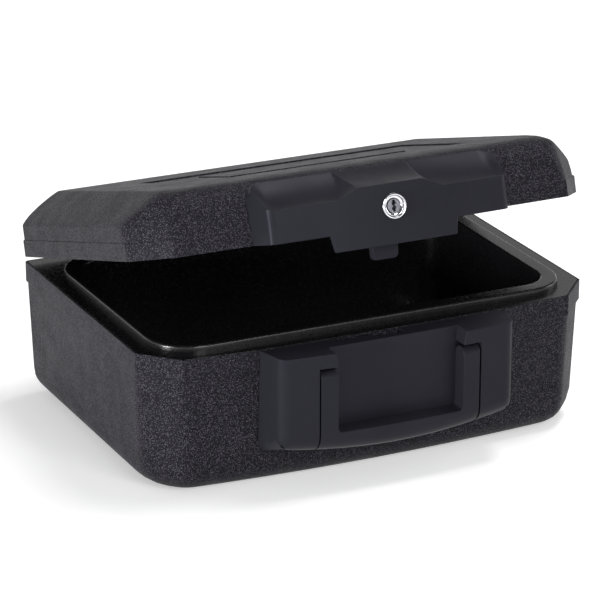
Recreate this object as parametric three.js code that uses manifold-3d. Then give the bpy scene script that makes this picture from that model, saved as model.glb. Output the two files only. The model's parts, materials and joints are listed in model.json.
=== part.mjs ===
// Fireproof lock box: a moulded tub and a hinged lid, both filled with insulation, with a key lock
// in a cover on the lid and a carry handle in a housing on the tub. Millimetres, +Z up, +X right,
// the front faces -Y. The origin is on the tub's underside, below the middle of the cavity.
// The lid, its lock and its latch are written as they stand with the lid closed, and one group turns
// them to where the lid rests, ajar.
import * as THREE from 'three';
import Module from 'manifold-3d';
import { mergeVertices } from 'three/addons/utils/BufferGeometryUtils.js';

const wasm = await Module();
wasm.setup();

// Fits
const seatGap = 0.3;
const slideGap = 0.7;
const pinFit = 0.3;

// How far a cutting solid runs past what it cuts, and the least step between two faces
const past = 5;
const farPast = 25;
const leastRun = 0.5;
const weldDistance = 1e-4;

// Sides of the round pieces
const screwSides = 10;
const pinSides = 12;
const lockSides = 20;
const ringSides = 28;
const nutSides = 6;

// Steps in a rounded corner, and the most of a side that its rounding takes
const cornerSteps = 3;
const cornerShare = 0.45;

// Cavity, measured at the tub's rim, and the walls round it
const cavityHalf = 153.5;
const cavityDepthHalf = 95;
const sideThickness = 28;
const backThickness = 31;
const frontThickness = 24.5;

// Tub, measured at its rim
const rimHeight = 107.6;
const rimHalf = cavityHalf + sideThickness;
const rimBack = cavityDepthHalf + backThickness;
const rimFront = -cavityDepthHalf - frontThickness;
const chamferAlong = 28;
const chamferAcross = 25.5;
const rimChamferSide = rimFront + chamferAlong;
const rimChamferX = rimHalf - chamferAcross;
const frontBow = 7.3;
const backCorner = 2.5;
const rimBand = 15.6;
const rimStep = 1.2;
const sideLean = 3;
const bottomRadius = 19.5;
const bottomFrontRadius = 21;
const bottomFacetRadius = 20.5;
const bottomSideRun = 24;
const bottomFrontRun = 8;
const cornerRun = 0.8;
const wallRun = 6;
const shellWall = 2.8;
const shellLip = 1.3;

// Liner, cavity and the sealing tongue round its mouth
const linerWall = 3;
const cavityCorner = 21;
const leastCorner = 4;
const cavityFloor = 24.5;
const cavityFloorRadius = 10;
const cavityLean = 2.5;
const tongueWidth = 13.7;
const tongueHeight = 4.75;
const tongueEdge = 2;
const tongueClearance = 0.8;

// Lid
const rimGap = 1;
const lidHeight = 46.9;
const lidUnderside = rimHeight + rimGap;
const lidProudSide = 0.7;
const lidProudFront = 2.9;
const lidProudChamfer = 1.9;
const lidShortBack = 2.9;
const lidHalf = rimHalf + lidProudSide;
const lidBack = rimBack - lidShortBack;
const lidFront = rimFront - lidProudFront;
const lidChamferSide = rimChamferSide;
const lidChamferX = rimChamferX + lidProudChamfer;
const lidBand = 13.3;
const lidLip = 0.8;
const lidSideSlope = 27.8;
const lidBackSlope = 13;
const lidFrontSlope = 32;
const lidFacetSlope = 12;
const lidSideShoulder = 0.33;
const lidBackShoulder = 0.5;
const lidTopCorner = 8;
const lidTopRun = 10;
const lidRecessDepth = 5.4;
const lidRecessRib = 6.7;
const fieldHalf = 111;
const fieldFront = -60;
const fieldBack = 48;
const fieldDepth = 1.2;
const plateInsetX = 39;
const plateInsetY = 24;
const plateHalf = fieldHalf - plateInsetX;
const plateFront = fieldFront + plateInsetY;
const plateBack = fieldBack - plateInsetY;
const plateRise = 0.8;
const lidAjar = THREE.MathUtils.degToRad(16.83);

// Hinges
const hingeBehind = 6.9;
const hingeBelow = 0.3;
const hingeFromSide = 66.5;
const hingeX = rimHalf - hingeFromSide;
const barrelRadius = 4.6;
const hingePinRadius = 2.4;
const lidKnuckle = 24;
const tubKnuckle = 13;
const knuckleGap = 0.4;
const webDrop = 16;
const webRise = 12;
const webOut = 0.6;
const webAlong = 0.75;

// Handle housing
const housingForward = 5.4;
const housingSeat = rimFront - housingForward;
const housingDepth = 30.1;
const housingFront = housingSeat - housingDepth;
const housingHalf = 99;
const housingFrontBow = 0.0006;
const housingCorner = 13;
const housingSideTaper = 4.2;
const housingCornerX = housingHalf - housingCorner;
const housingSideX = housingHalf - housingSideTaper;
const housingSideY = housingFront + housingCorner;
const housingBottom = 27.5;
const housingSmile = 0.0011;
const housingDrop = 3;
const housingRearBottom = housingBottom - housingDrop;
const housingRearSmile = 0.0006;
const housingSlopeStart = 15;
const housingSlopeFront = housingFront + housingSlopeStart;
const housingLowCorner = 13;
const housingRearLowCorner = 7;
const housingRoll = 15;
const housingWall = 3;
const housingReach = 20;
const recessFromSeat = 14.6;
const recessBack = housingSeat - recessFromSeat;
const recessLip = 10.6;

// Carry handle
const handleHalf = 64;
const handleArm = 13.6;
const recessInset = 0.2;
const recessFlare = 2.1;
const recessLowHalf = handleHalf - handleArm - recessInset;
const recessTopHalf = recessLowHalf + recessFlare;
const handleBarTop = 46.5;
const handleSideGap = 1.2;
const handleTopGap = 2.5;
const handleInnerCorner = 3;
const handlePinRadius = 2.5;
const handlePinInArm = 10.5;
const handlePinInHousing = 10;
const bossWall = 2.4;
const bossEnd = 1;

// Lock cover
const coverBehind = 1;
const coverWider = 3;
const coverWingHeight = 24.2;
const coverPanelRise = 7.2;
const coverHeight = 43.6;
const coverFront = housingFront + coverBehind;
const coverHalf = housingHalf + coverWider;
const coverWingTop = lidUnderside + coverWingHeight;
const coverPanelTop = coverWingTop + coverPanelRise;
const coverTop = lidUnderside + coverHeight;
const coverPanelHalf = 25.2;
const coverPanelFlare = 4.6;
const coverRampWidth = 16.2;
const coverPanelRearHalf = coverPanelHalf + coverPanelFlare;
const coverRampHalf = coverPanelHalf + coverRampWidth;
const coverTopCorner = 20;
const coverCornerRise = 2;
const coveHollow = 0.75;
const coveEndInset = 15;
const coveEndWidth = 9;
const panelHollow = 0.3;
const rampPoint = 0.2;
const coverCorner = 14;
const coverSideTaper = 6.7;
const coverCornerDepth = 9;
const coverCornerSweep = 60;
const coverRootWider = 1.5;
const coverCornerX = coverHalf - coverCorner;
const coverSideX = coverHalf - coverSideTaper;
const coverSideY = coverFront + coverCornerDepth;
const coverRootHalf = housingHalf + coverRootWider;
const coverWall = 3;
const railThickness = 2.4;
const railEnd = 4;
const tabOverRecess = 0.4;
const tabTaper = 2.3;
const tabDrop = 12;
const tabThickness = 4.5;
const tabTopHalf = recessLowHalf + tabOverRecess;
const tabLowHalf = tabTopHalf - tabTaper;
const tabBottom = lidUnderside - tabDrop;
const tabBack = coverFront + tabThickness;
const lidSeatBehind = 0.6;
const lidSeatInset = 5;
const lidSeatBelow = 11.3;
const coverOverSlope = 4.8;
const lidSeat = housingSeat + lidSeatBehind;
const lidSeatHalf = coverRootHalf - lidSeatInset;
const lidSeatTop = coverTop - lidSeatBelow;
const coverRear = lidSeat + coverOverSlope;

// Lock, latch and strike
const lockRise = 15;
const lockHeight = lidUnderside + lockRise;
const lockRingRadius = 9.5;
const lockRingProud = 2.2;
const lockBarrelRadius = 8;
const lockBarrelBehind = 6.5;
const lockBore = 5.6;
const lockDish = 1.4;
const plugSink = 0.9;
const keywayWidth = 1.6;
const keywayHeight = 7;
const keywayDepth = 9;
const nutRadius = 12;
const nutLength = 4;
const tailRadius = 3;
const camThickness = 2.5;
const camArm = 12;
const camPinRadius = 2;
const camGap = 0.8;
const camHubWall = 3.5;
const camTipWall = 2;
const camArmWall = 1.5;
const camScrewRadius = 1.2;
const camScrewDepth = 5;
const camScrewHead = 4;
const camScrewHeadHeight = 1.4;
const keyTurn = Math.PI / 2;
const screwHeadRadius = 3.6;
const screwHeadHeight = 2;
const screwRadius = 1.8;
const screwReach = 12;
const screwRoom = 1;
const latchPlate = 4;
const latchPlateHalf = 14;
const latchPlateEnd = 3;
const latchPlateTop = 2;
const latchPlateInShank = 0.4;
const latchShank = 3.4;
const latchShankHalf = 7;
const latchShankTop = 4;
const latchFootHalf = 10.2;
const latchFootDepth = 6.5;
const latchFootDrop = 22.6;
const latchFootBottom = rimHeight - latchFootDrop;
const latchFootTaper = 1.4;
const latchFootNose = 7;
const latchFootCorner = 3;
const latchBehind = 0.6;
const strikeThickness = 1.5;
const strikeMargin = 8;
const strikeHeadroom = 0.8;
const strikeScrewCover = 0.8;
const slotRun = 28.8;
const slotSideGap = 1;
const slotFrontGap = 1.3;

// Screws that hold the cover and the housing
const coverScrewInset = [24, 58];
const coverScrewRise = 9.4;
const housingScrewInset = 19;
const housingScrewDrops = [47.6, 11.6];
const coverScrewX = coverScrewInset.map((inset) => coverHalf - inset);
const coverScrewHeight = lidUnderside + coverScrewRise;
const housingScrewX = housingHalf - housingScrewInset;
const housingScrewHeights = housingScrewDrops.map((drop) => rimHeight - drop);

// Finishes
const grain = new THREE.MeshStandardMaterial({ color: 0x34323a, roughness: 0.75, metalness: 0 });
const satin = new THREE.MeshStandardMaterial({ color: 0x303036, roughness: 0.5, metalness: 0 });
const smooth = new THREE.MeshStandardMaterial({ color: 0x17171a, roughness: 0.35, metalness: 0 });
const mineral = new THREE.MeshStandardMaterial({ color: 0xb9b4a8, roughness: 0.95, metalness: 0 });
const chrome = new THREE.MeshStandardMaterial({ color: 0xd5d7da, roughness: 0.12, metalness: 1 });
const steel = new THREE.MeshStandardMaterial({ color: 0xa9abad, roughness: 0.35, metalness: 1 });
const brass = new THREE.MeshStandardMaterial({ color: 0xb9a05a, roughness: 0.3, metalness: 1 });

// A closed geometry as a solid that can be joined and cut.
function solid(geometry) {
  const bare = geometry.clone();
  bare.deleteAttribute('normal');
  bare.deleteAttribute('uv');
  const merged = mergeVertices(bare, weldDistance);
  const position = merged.attributes.position.array;
  const corners = merged.index.array;
  const faces = [];
  let volume = 0;
  for (let i = 0; i < corners.length; i += 3) {
    const [a, b, c] = corners.slice(i, i + 3);
    if (a === b || b === c || c === a) continue;
    const [p, q, r] = [a, b, c].map((k) => new THREE.Vector3().fromArray(position, 3 * k));
    volume += p.dot(q.cross(r));
    faces.push([a, b, c]);
  }
  const order = volume > 0 ? [0, 1, 2] : [0, 2, 1];
  const triVerts = new Uint32Array(faces.flatMap((face) => order.map((k) => face[k])));
  const vertProperties = new Float32Array(position);
  return new wasm.Manifold(new wasm.Mesh({ numProp: 3, vertProperties, triVerts }));
}

function mesh(name, body, material) {
  const { vertProperties, triVerts } = body.getMesh();
  const geometry = new THREE.BufferGeometry();
  geometry.setAttribute('position', new THREE.BufferAttribute(new Float32Array(vertProperties), 3));
  geometry.setIndex(new THREE.BufferAttribute(new Uint32Array(triVerts), 1));
  geometry.computeVertexNormals();
  const piece = new THREE.Mesh(geometry, material);
  piece.name = name;
  return piece;
}

const join = (...bodies) => bodies.reduce((a, b) => a.add(b));
const cut = (body, ...tools) => tools.reduce((a, b) => a.subtract(b), body);

// A closed skin over rings of points, all with the same number of points. Each cell is split along
// its shorter diagonal.
function loft(rings) {
  const count = rings[0].length;
  const points = rings.flat();
  const index = [];
  for (let i = 0; i + 1 < rings.length; i += 1) {
    for (let j = 0; j < count; j += 1) {
      const a = i * count + j;
      const b = i * count + ((j + 1) % count);
      const [c, d] = [b + count, a + count];
      const rising = points[a].distanceTo(points[c]) <= points[b].distanceTo(points[d]) + weldDistance;
      index.push(...(rising ? [a, b, c, a, c, d] : [a, b, d, b, c, d]));
    }
  }
  const across = rings[rings.length - 1][0].clone().sub(rings[0][0]);
  const drop = ['x', 'y', 'z'].reduce((a, b) => (Math.abs(across[a]) >= Math.abs(across[b]) ? a : b));
  const [u, v] = ['x', 'y', 'z'].filter((axis) => axis !== drop);
  const flat = (ring) => ring.map((p) => new THREE.Vector2(p[u], p[v]));
  const cap = (ring) => THREE.ShapeUtils.triangulateShape(flat(ring), []);
  const last = (rings.length - 1) * count;
  cap(rings[0]).forEach(([a, b, c]) => index.push(...facing(rings[0], [a, b, c], drop, u, v, false)));
  cap(rings[rings.length - 1]).forEach(([a, b, c]) => {
    index.push(...facing(rings[rings.length - 1], [a, b, c], drop, u, v, true).map((k) => k + last));
  });
  const geometry = new THREE.BufferGeometry();
  geometry.setAttribute('position', new THREE.Float32BufferAttribute(points.flatMap((p) => p.toArray()), 3));
  geometry.setIndex(index);
  return solid(geometry);
}

// A cap's triangle, wound with the ring for the last ring and against it for the first.
function facing(ring, [a, b, c], drop, u, v, withRing) {
  const turn = (ids) => ids.reduce((sum, id, k) => {
    const next = ids[(k + 1) % ids.length];
    return sum + ring[id][u] * ring[next][v] - ring[next][u] * ring[id][v];
  }, 0);
  const same = Math.sign(turn([a, b, c])) === Math.sign(turn(ring.map((_, k) => k)));
  return same === withRing ? [a, b, c] : [a, c, b];
}

function box(x0, x1, y0, y1, z0, z1) {
  const geometry = new THREE.BoxGeometry(x1 - x0, y1 - y0, z1 - z0);
  return solid(geometry.translate((x0 + x1) / 2, (y0 + y1) / 2, (z0 + z1) / 2));
}

const AXES = { x: new THREE.Vector3(1, 0, 0), y: new THREE.Vector3(0, 1, 0), z: new THREE.Vector3(0, 0, 1) };

// A round bar of radius r from one end of an axis to the other, through the point (a, b) of the
// plane square to it.
function bar(axis, r, from, to, [a, b], sides = 16) {
  const geometry = new THREE.CylinderGeometry(r, r, to - from, sides);
  geometry.applyQuaternion(new THREE.Quaternion().setFromUnitVectors(AXES.y, AXES[axis]));
  const middle = (from + to) / 2;
  const place = { x: [middle, a, b], y: [a, middle, b], z: [a, b, middle] }[axis];
  return solid(geometry.translate(...place));
}

// An outline of [y, z] points made into a prism along X, and one of [x, z] points along Y.
function prismX(points, x0, x1) {
  return loft([x0, x1].map((x) => points.map(([y, z]) => new THREE.Vector3(x, y, z))));
}

function prismY(points, y0, y1) {
  return loft([y0, y1].map((y) => points.map(([x, z]) => new THREE.Vector3(x, y, z))));
}

function prismZ(points, z0, z1) {
  return loft([z0, z1].map((z) => points.map(([x, y]) => new THREE.Vector3(x, y, z))));
}

const mirrored = (points) => [...points, ...points.map(([x, z]) => [-x, z]).reverse()];

// Points of a quarter round from one direction to the next, centred on [u, v].
function arc([u, v], r, fromDegrees, toDegrees, steps) {
  return Array.from({ length: steps + 1 }, (_, i) => {
    const angle = THREE.MathUtils.degToRad(fromDegrees + ((toDegrees - fromDegrees) * i) / steps);
    return [u + r * Math.cos(angle), v + r * Math.sin(angle)];
  });
}

// Rounded rectangle, centred on the origin.
function roundedRectangle(halfX, halfY, r, steps = 5) {
  return [
    ...arc([halfX - r, halfY - r], r, 0, 90, steps),
    ...arc([r - halfX, halfY - r], r, 90, 180, steps),
    ...arc([r - halfX, r - halfY], r, 180, 270, steps),
    ...arc([halfX - r, r - halfY], r, 270, 360, steps),
  ];
}

// The box's outline from above, each of its sides moved inwards by its own inset. The front is
// bowed between its two chamfers.
const tubPlan = {
  half: rimHalf, back: rimBack, front: rimFront, chamferSide: rimChamferSide, chamferX: rimChamferX,
};
const lidPlan = {
  half: lidHalf, back: lidBack, front: lidFront, chamferSide: lidChamferSide, chamferX: lidChamferX,
};

// The corner b on the way from a to c, rounded over a run along both its sides.
function rounded(a, b, c, run) {
  const corner = new THREE.Vector2(...b);
  const [from, to] = [a, c].map((end) => {
    const side = new THREE.Vector2(...end).sub(corner);
    return side.setLength(Math.min(run, cornerShare * side.length())).add(corner);
  });
  return new THREE.QuadraticBezierCurve(from, corner, to).getPoints(cornerSteps).map((p) => p.toArray());
}

function outline(plan, inset, leastChamfer = 2) {
  const side = plan.half - inset.side;
  const front = plan.front + inset.front;
  const run = new THREE.Vector2(plan.chamferX - plan.half, plan.front - plan.chamferSide).normalize();
  const start = new THREE.Vector2(plan.half + run.y * inset.facet, plan.chamferSide - run.x * inset.facet);
  const sideEnd = start.y + ((side - start.x) * run.y) / run.x;
  const frontEnd = start.x + ((front - start.y) * run.x) / run.y;
  const chamferSide = Math.max(sideEnd, front + leastChamfer);
  const chamferX = Math.min(frontEnd, side - leastChamfer);
  const back = plan.back - inset.back;
  const steps = 10;
  const bow = Array.from({ length: steps - 1 }, (_, i) => {
    const x = chamferX * ((2 * (i + 1)) / steps - 1);
    return [x, front - frontBow * (1 - (x / chamferX) ** 2)];
  });
  const [frontCorner, sideCorner] = [[chamferX, front], [side, chamferSide]];
  const right = [
    ...rounded(bow[bow.length - 1], frontCorner, sideCorner, inset.frontRun),
    ...rounded(frontCorner, sideCorner, [side, back], inset.sideRun),
    ...arc([side - backCorner, back - backCorner], backCorner, 0, 90, 3),
  ];
  return [...bow, ...mirrored(right)];
}

const level = (points, z) => points.map(([x, y]) => new THREE.Vector3(x, y, z));
const even = (inset) => ({
  side: inset, back: inset, front: inset, facet: inset, sideRun: cornerRun, frontRun: cornerRun,
});

// Below its rim's step the tub's back stands upright, its other sides lean in and its corners
// are softer.
const leaning = (lean, inset) => ({
  ...even(lean + inset), back: Math.min(lean, rimStep) + inset, sideRun: wallRun, frontRun: wallRun,
});

// How far the tub's side stands inside its rim at height z, above the bottom rounding.
function tubLean(z) {
  if (z >= rimHeight - rimBand) return 0;
  return rimStep + (sideLean * (rimHeight - rimBand - z)) / (rimHeight - rimBand - bottomRadius);
}

// How far a rounded bottom edge stands inside its side at a rise above the underside.
function roundInset(radius, rise) {
  return rise < radius ? radius - Math.sqrt(radius ** 2 - (radius - rise) ** 2) : 0;
}

const bottomRise = Math.max(bottomRadius, bottomFrontRadius, bottomFacetRadius);

// The tub's outer form, moved inwards by an offset, up to a top level.
function tubForm(offset, top) {
  const rings = [0, 0.04, 0.13, 0.27, 0.42, 0.56, 0.7, 1].map((share) => {
    const rise = share * (bottomRise - Math.max(offset, 0));
    const inset = leaning(tubLean(Math.max(offset + rise, bottomRadius)), offset);
    const round = (radius) => roundInset(radius - Math.max(offset, 0), rise);
    return level(outline(tubPlan, {
      side: inset.side + round(bottomRadius),
      back: inset.back + round(bottomRadius),
      front: inset.front + round(bottomFrontRadius),
      facet: inset.facet + round(bottomFacetRadius),
      sideRun: THREE.MathUtils.lerp(bottomSideRun, wallRun, share),
      frontRun: THREE.MathUtils.lerp(bottomFrontRun, wallRun, share),
    }), offset + rise);
  });
  const stepTop = rimHeight - rimBand;
  rings.push(level(outline(tubPlan, leaning(rimStep, offset)), stepTop - rimStep));
  rings.push(level(outline(tubPlan, even(offset)), stepTop));
  rings.push(level(outline(tubPlan, even(offset)), top));
  return loft(rings);
}

// The flat on the front of the tub and of the lid that the housing and the cover sit against.
const tubSeat = (offset) => {
  const half = housingHalf + offset;
  const back = housingSeat + seatGap + offset;
  return box(-half, half, housingFront - farPast, back, -past, rimHeight + farPast);
};
const lidSeatCut = (offset) => {
  const half = lidSeatHalf + offset;
  const top = lidSeatTop + offset;
  return box(-half, half, coverFront - farPast, lidSeat + offset, rimHeight - farPast, top);
};

// A stack of rounded rectangles, given as [inset, z] pairs, about the cavity's outline.
function cavityStack(levels) {
  return loft(levels.map(([inset, z]) => level(
    roundedRectangle(
      cavityHalf - inset, cavityDepthHalf - inset, Math.max(cavityCorner - inset, leastCorner),
    ), z,
  )));
}

const tongueTop = rimHeight + tongueHeight;

// The cavity's form moved outwards by an offset, up to a top level.
function cavityForm(offset, top, flare = 0) {
  const radius = cavityFloorRadius + offset;
  const floor = arc([0, 0], radius, 270, 180, 3).map(([u, v]) => [
    cavityLean - offset + radius + u,
    cavityFloor - offset + radius + v,
  ]);
  const mouth = arc([-flare, 0], flare, 0, 90, 2).map(([u, v]) => [u - offset, top - flare + v]);
  return cavityStack([...floor, [-offset, rimHeight], ...(flare > 0 ? mouth : [[-offset, top]])]);
}

function shellHole([x, z], y0, y1) {
  return bar('y', screwRadius + pinFit, y0, y1, [x, z], screwSides);
}

// Hinges
const hingeY = rimBack + hingeBehind;
const hingeZ = rimHeight - hingeBelow;
const hinges = [-hingeX, hingeX];

function knuckle(x0, x1, web) {
  const barrel = bar('x', barrelRadius, x0, x1, [hingeY, hingeZ]);
  const bore = bar('x', hingePinRadius + pinFit, x0 - past, x1 + past, [hingeY, hingeZ]);
  return cut(join(barrel, prismX(web, x0, x1)), bore);
}

// The tub's knuckles hang on webs below the axis, the lid's on webs above it.
const tubWeb = [
  [rimBack - shellWall, hingeZ - webDrop],
  [rimBack, hingeZ - webDrop],
  [hingeY + barrelRadius * webOut, hingeZ - barrelRadius * webAlong],
  [hingeY, hingeZ - seatGap],
  [rimBack - shellWall, hingeZ - seatGap],
];
const lidWeb = [
  [lidBack - shellWall, hingeZ + webRise],
  [lidBack, hingeZ + webRise],
  [hingeY + barrelRadius * webOut, hingeZ + barrelRadius * webAlong],
  [hingeY, lidUnderside],
  [lidBack - shellWall, lidUnderside],
];
const tubKnuckles = hinges.flatMap((x) => [-1, 1].map((side) => {
  const near = x + side * (lidKnuckle / 2 + knuckleGap);
  const far = near + side * tubKnuckle;
  return knuckle(Math.min(near, far), Math.max(near, far), tubWeb);
}));
const lidKnuckles = hinges.map((x) => knuckle(x - lidKnuckle / 2, x + lidKnuckle / 2, lidWeb));

// Handle housing and handle share one outer form.
function housingLine(x) {
  const across = Math.abs(x);
  const front = (at) => housingFront + housingFrontBow * at ** 2;
  if (across <= housingCornerX) return front(across);
  const start = front(housingCornerX);
  if (across <= housingSideX) {
    const part = (across - housingCornerX) / (housingSideX - housingCornerX);
    return start + (housingSideY - start) * (1 - Math.sqrt(1 - part ** 2));
  }
  const part = (across - housingSideX) / (housingHalf - housingSideX);
  return housingSideY + part * (housingSeat - housingSideY);
}

// The housing's underside is curved up at its ends, and slopes down to the tub.
function housingFloor(x, y) {
  const share = THREE.MathUtils.clamp((y - housingSlopeFront) / (housingSeat - housingSlopeFront), 0, 1);
  const front = housingBottom + housingSmile * x ** 2;
  const rear = housingRearBottom + housingRearSmile * x ** 2;
  return THREE.MathUtils.lerp(front, rear, share);
}

// A form whose lower corners are rounded, more at the front than at the tub.
function housingCorners(offset) {
  const lean = (housingHalf - housingSideX) / (housingSeat - housingSideY);
  const ring = (y, radius) => {
    const half = housingHalf + seatGap + lean * (y - housingSeat) - offset;
    const floor = housingFloor(half - radius, y) + offset;
    const right = [
      [half - radius - 2 * housingLowCorner, 0],
      ...arc([half - radius, floor + radius], radius, 270, 360, 4),
      [half, rimHeight + past],
    ];
    return mirrored(right).map(([x, z]) => new THREE.Vector3(x, y, z));
  };
  return loft([
    ring(housingFront - past, housingLowCorner - offset),
    ring(housingSlopeFront, housingLowCorner - offset),
    ring(housingSeat, housingRearLowCorner - offset),
    ring(housingSeat + farPast, housingRearLowCorner - offset),
  ]);
}

function housingForm(offset) {
  const straight = [0, 1, 2, 3, 4, 5].map((k) => (k * housingCornerX) / 6);
  const corner = arc([housingCornerX, 0], housingSideX - housingCornerX, 90, 0, 4).map(([x]) => x);
  const right = [...straight, ...corner, housingHalf];
  const stations = [...right.slice(1).reverse().map((x) => -x), ...right];
  const rear = housingSeat + housingReach;
  const roll = housingRoll - offset;
  const body = loft(stations.map((x) => {
    const front = housingLine(x) + offset;
    const rollEnd = front + roll;
    const low = housingFloor(x, rollEnd) + offset;
    const edge = arc([rollEnd, low + roll], roll, 270, 180, 4);
    const rearLow = housingFloor(x, rear) + offset;
    const under = [[rear, rearLow], [Math.max(housingSeat, rollEnd + leastRun), rearLow]];
    const section = [[rear, rimHeight - offset], ...under, ...edge, [front, rimHeight - offset]];
    const across = (x * (housingHalf - offset)) / housingHalf;
    return section.map(([y, z]) => new THREE.Vector3(across, y, z));
  }));
  return body.intersect(housingCorners(offset));
}

const bayHalf = handleHalf + handleSideGap;
const bayTop = rimHeight - recessLip;
const handleBack = recessBack - seatGap;
const armFront = housingLine(handleHalf - handleArm);
const armRadius = (handleBack - armFront) / 2;
const pivotY = (handleBack + armFront) / 2;
const pivotZ = bayTop - handleTopGap - armRadius;

// The space at the housing's front for the handle and the fingers behind it, grown by a margin.
function handleBay(margin) {
  const front = housingFront - past;
  const back = recessBack + margin;
  const bay = box(-bayHalf - margin, bayHalf + margin, front, back, 0, bayTop + margin);
  const mouth = [
    [recessLowHalf + margin, bayTop - past],
    [recessLowHalf + margin, bayTop],
    [recessTopHalf + margin, rimHeight],
    [recessTopHalf + margin, rimHeight + past],
  ];
  return join(bay, prismY(mirrored(mouth), front, back));
}

// Latch and its keyhole slot. The foot goes down through the wide end and slides under the narrow.
const latchBack = housingSeat - latchBehind;
const shankFront = latchBack - latchShank;
const footFront = latchBack - latchFootDepth;
const latchTravel = 2 * camArm * Math.sin(keyTurn / 2);
const strikeTop = rimHeight - housingWall;
const footTop = strikeTop - strikeThickness - strikeHeadroom;
const slotRight = latchFootHalf + slotSideGap;
const slotWideLeft = -latchFootHalf - slotSideGap;
const slotLeft = -latchFootHalf - slotRun;
const slotNarrowFront = shankFront - slideGap;
const slotWideFront = footFront - slotFrontGap;

const keyhole = (z0, z1) => join(
  box(slotLeft, slotRight, slotNarrowFront, housingSeat + past, z0, z1),
  box(slotWideLeft, slotRight, slotWideFront, housingSeat + past, z0, z1),
);

const strikeScrews = [slotLeft - strikeMargin / 2, slotRight + strikeMargin / 2].map((x) => [
  x, (slotWideFront + housingSeat) / 2,
]);
const strikeScrewDepth = housingWall - strikeScrewCover;
const housingScrews = [-1, 1].flatMap((side) => (
  housingScrewHeights.map((z) => [side * housingScrewX, z])
));
const coverScrews = coverScrewX.flatMap((x) => [[-x, coverScrewHeight], [x, coverScrewHeight]]);

const strikeHole = (at, top) => bar('z', screwRadius + pinFit, strikeTop - past, top, at, screwSides);

function housing() {
  const hollow = cut(housingForm(housingWall), handleBay(housingWall));
  const bossRadius = screwRadius + pinFit + bossWall;
  const screwBosses = housingScrews.map(([x, z]) => (
    bar('y', bossRadius, housingLine(x) + housingWall / 2, housingSeat + housingReach, [x, z], pinSides)
  ));
  const pinBosses = [-1, 1].map((side) => {
    const [near, far] = [bayHalf + housingWall / 2, bayHalf + handlePinInHousing + bossEnd];
    const ends = [side * near, side * far].sort((a, b) => a - b);
    return bar('x', handlePinRadius + pinFit + bossWall, ...ends, [pivotY, pivotZ], pinSides);
  });
  const body = join(cut(housingForm(0), handleBay(0), hollow), ...screwBosses, ...pinBosses);
  const pinReach = bayHalf + handlePinInHousing + pinFit;
  return cut(
    body,
    tubEnvelope,
    keyhole(strikeTop - past, rimHeight + past),
    bar('x', handlePinRadius + pinFit, -pinReach, pinReach, [pivotY, pivotZ], pinSides),
    ...housingScrews.map((at) => (
      shellHole(at, housingSeat - screwReach - screwRoom, housingSeat + housingReach)
    )),
    ...strikeScrews.map((at) => strikeHole(at, strikeTop + strikeScrewDepth + pinFit)),
  );
}

const tubEnvelope = cut(tubForm(-seatGap, rimHeight + past), tubSeat(-seatGap));

function carryHandle() {
  const inner = handleHalf - handleArm;
  const low = handleBarTop + handleInnerCorner;
  const corner = arc([inner - handleInnerCorner, low], handleInnerCorner, 0, -90, 2);
  const right = [[handleHalf, 0], [handleHalf, rimHeight], [inner, rimHeight], ...corner];
  const front = prismY(mirrored(right), housingFront - past, handleBack);
  const side = prismX([
    [housingFront - past, 0],
    [handleBack, 0],
    ...arc([pivotY, pivotZ], armRadius, 0, 180, 8),
    [armFront, pivotZ - armRadius],
    [housingFront - past, pivotZ - armRadius],
  ], -handleHalf - past, handleHalf + past);
  const reach = handleHalf - handlePinInArm - pinFit;
  const bores = [-1, 1].map((sign) => {
    const ends = [sign * reach, sign * (handleHalf + past)].sort((a, b) => a - b);
    return bar('x', handlePinRadius + pinFit, ...ends, [pivotY, pivotZ], pinSides);
  });
  return cut(housingForm(0).intersect(front).intersect(side), ...bores);
}

function handlePin(side) {
  const ends = [handleHalf - handlePinInArm, bayHalf + handlePinInHousing].map((x) => side * x);
  return bar('x', handlePinRadius, Math.min(...ends), Math.max(...ends), [pivotY, pivotZ], pinSides);
}

// A pan-headed screw along an axis. Its head starts at the seat and its shank goes the other way.
function screw(axis, seat, direction, length, at) {
  const ends = (from, to) => [seat + direction * from, seat + direction * to].sort((a, b) => a - b);
  return join(
    bar(axis, screwHeadRadius, ...ends(-screwHeadHeight, 0), at, pinSides),
    bar(axis, screwRadius, ...ends(-screwHeadHeight / 2, length), at, screwSides),
  );
}

// The front of the tub's wall, outside, at x and at height z.
function tubFrontAt(x, z) {
  const points = outline(tubPlan, leaning(tubLean(z), 0));
  const k = points.findIndex((point) => point[0] > x);
  const [[x0, y0], [x1, y1]] = [points[k - 1], points[k]];
  return Math.max(y0 + ((x - x0) * (y1 - y0)) / (x1 - x0), housingSeat + seatGap);
}

const headRoom = (at, y0, y1) => bar('y', screwHeadRadius + seatGap, y0, y1, at, pinSides);
const housingScrewSeats = housingScrews.map(([x, z]) => (
  tubFrontAt(x, z - screwHeadRadius) + shellWall + seatGap
));

function tubShell() {
  const inner = cut(tubForm(shellWall, rimHeight - linerWall), tubSeat(shellWall));
  const rebate = cut(
    prismZ(outline(tubPlan, even(shellLip)), rimHeight - linerWall, rimHeight + past),
    tubSeat(shellLip),
  );
  const hollow = join(inner, rebate);
  const knuckles = tubKnuckles.map((body) => cut(body, hollow));
  const holes = housingScrews.map((at) => shellHole(at, housingSeat - farPast, housingSeat + farPast));
  return cut(join(cut(tubForm(0, rimHeight), tubSeat(0), hollow), ...knuckles), ...holes);
}

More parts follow.
